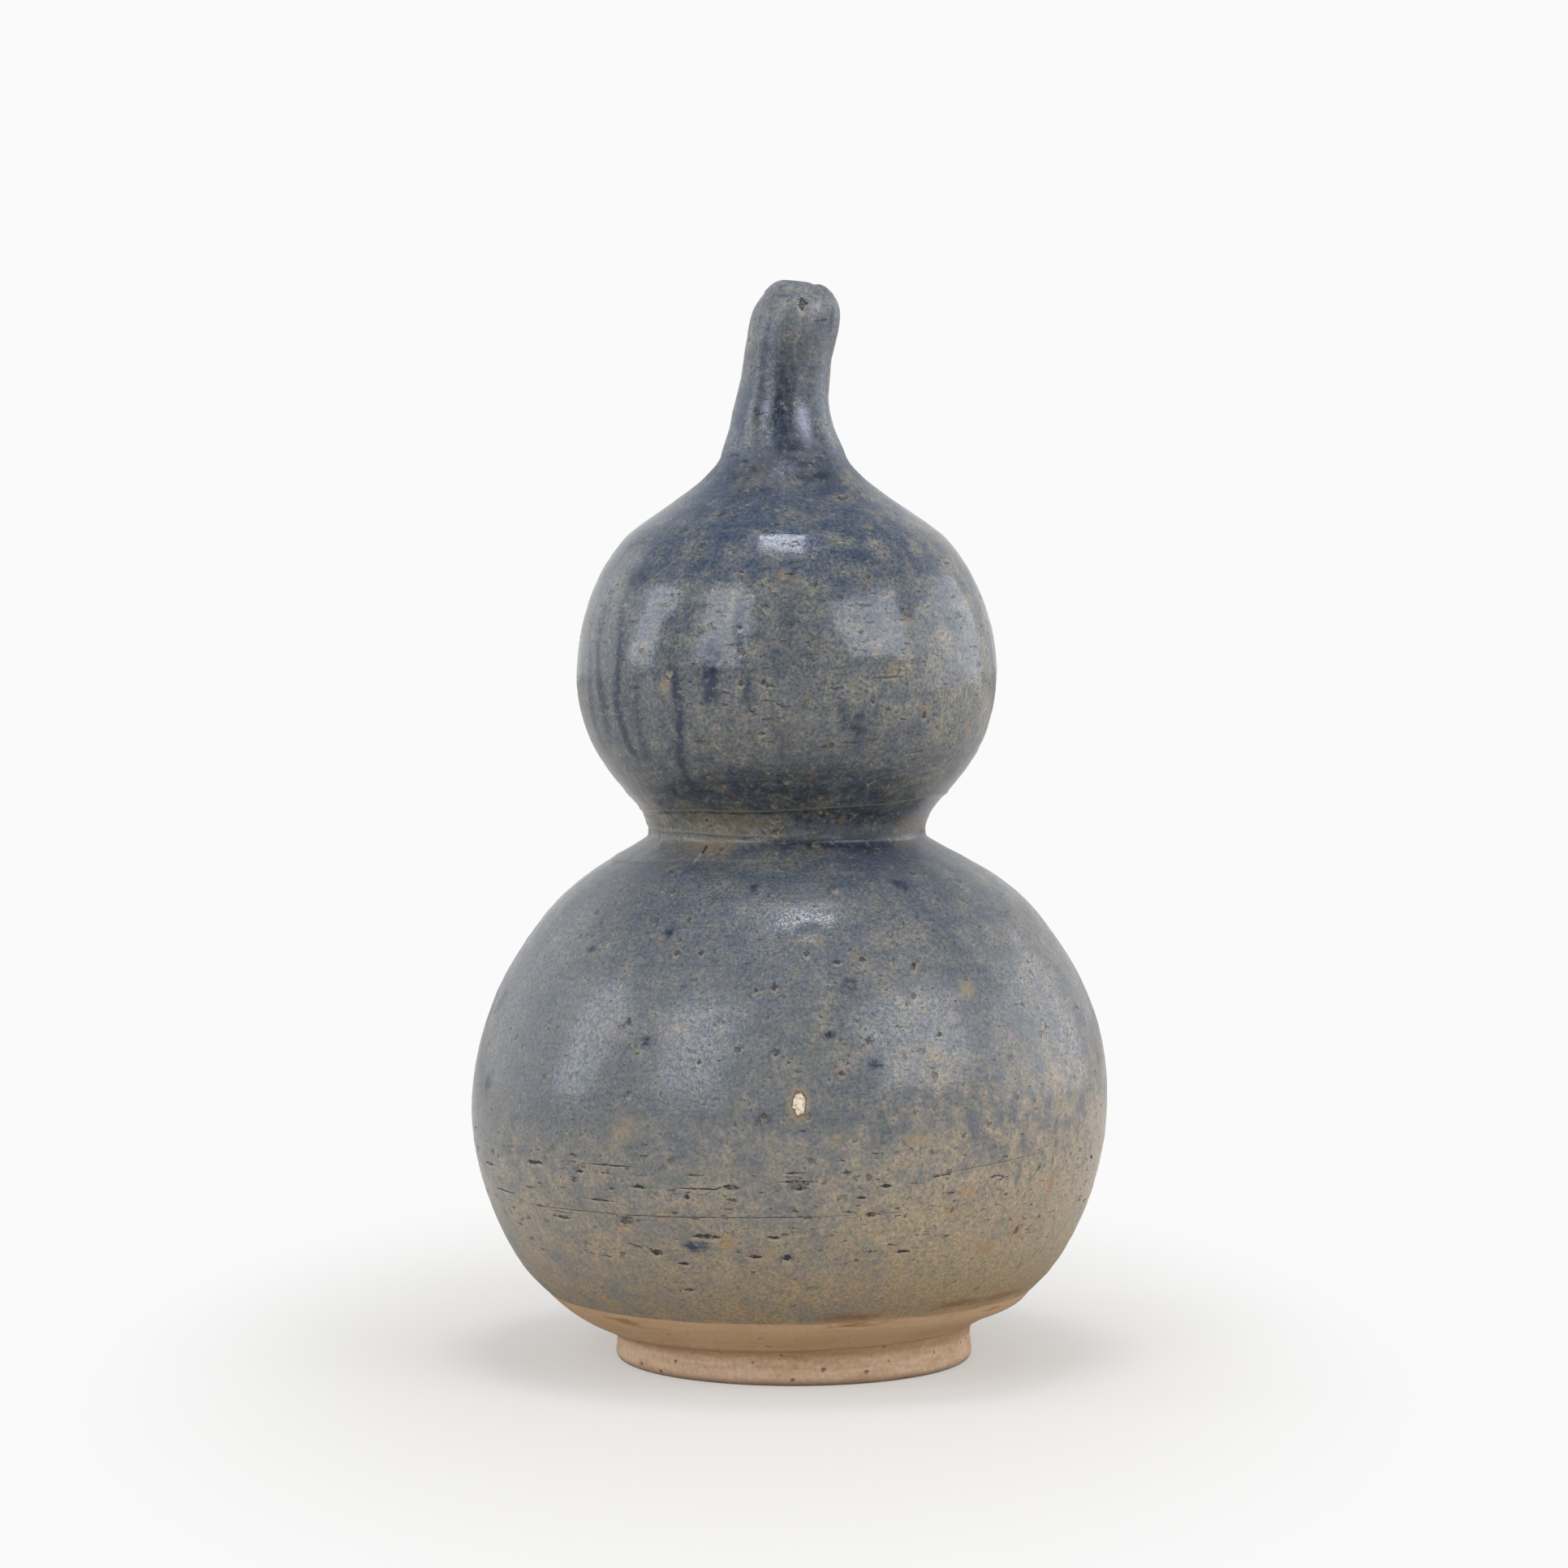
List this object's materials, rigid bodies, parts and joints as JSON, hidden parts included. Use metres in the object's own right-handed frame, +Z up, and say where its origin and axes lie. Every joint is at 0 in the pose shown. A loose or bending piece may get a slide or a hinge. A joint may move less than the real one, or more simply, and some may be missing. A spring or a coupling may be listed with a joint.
{
  "type": "gourd vase",
  "caption": "Hand-thrown double-gourd bud vase with a pinched leaning stem, a turned bare foot and a crackled blue-grey glaze; it holds a single flower.",
  "frame": {"origin": "on the standing surface, under the middle of the foot ring", "axes": "+Z up through the mouth, +X to the right of the front, the side to which the stem leans"},
  "size_m": [0.0978, 0.0978, 0.1649],
  "materials": {
    "clay": "bare fired stoneware, turned",
    "slip": "fired luting slip",
    "glaze": "thin crackled blue-grey glaze"
  },
  "bodies": {
    "root": {"foot_ring": "clay", "foot_slip": "slip", "lower_bowl": "clay", "lower_globe_slip": "slip", "lower_dome": "clay", "lower_waist_slip": "slip", "waist_collar": "clay", "upper_waist_slip": "slip", "upper_bowl": "clay", "upper_globe_slip": "slip", "upper_dome": "clay", "stem_slip": "slip", "stem": "clay", "glaze_coat": "glaze"}
  },
  "joints": []
}
